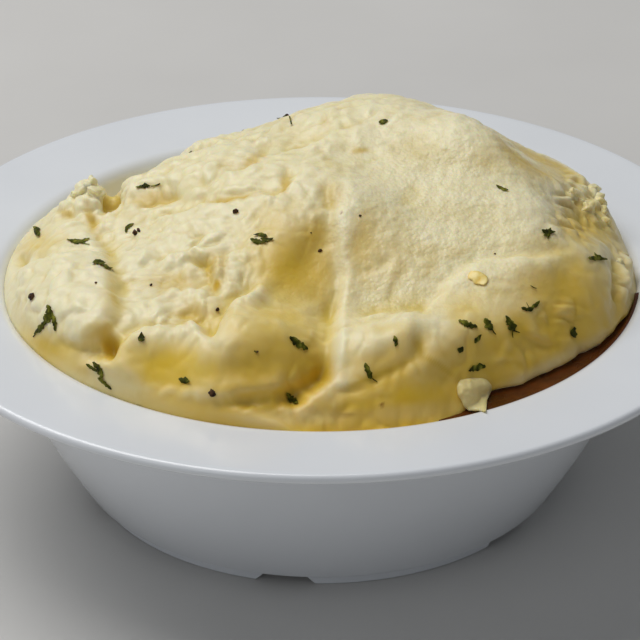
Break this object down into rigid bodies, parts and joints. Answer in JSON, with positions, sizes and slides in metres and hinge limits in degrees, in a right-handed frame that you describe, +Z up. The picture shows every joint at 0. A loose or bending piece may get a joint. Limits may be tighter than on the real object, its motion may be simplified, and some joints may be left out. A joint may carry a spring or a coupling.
{
  "type": "mashed potato side",
  "caption": "Side of mashed potato flecked with parsley and pepper, heaped in a small round white bowl with a wide flat rim and a notched foot ring.",
  "frame": {"origin": "centre of the bowl's foot ring, on the surface it stands on", "axes": "+Z up out of the bowl, -Y towards the front of the serving, +X to its right"},
  "size_m": [0.165, 0.165, 0.0718],
  "materials": {
    "bowl_white": "smooth glossy white melamine",
    "mash": "moist grainy mashed potato, cream to butter yellow",
    "gravy": "glossy brown gravy",
    "parsley": "chopped dried parsley leaf, dark green",
    "pepper": "coarse ground black pepper",
    "seed": "flat golden seed flake"
  },
  "bodies": {
    "root": {"bowl": "bowl_white", "mashed_potato": "mash", "brown_gravy": "gravy"}
  },
  "joints": []
}
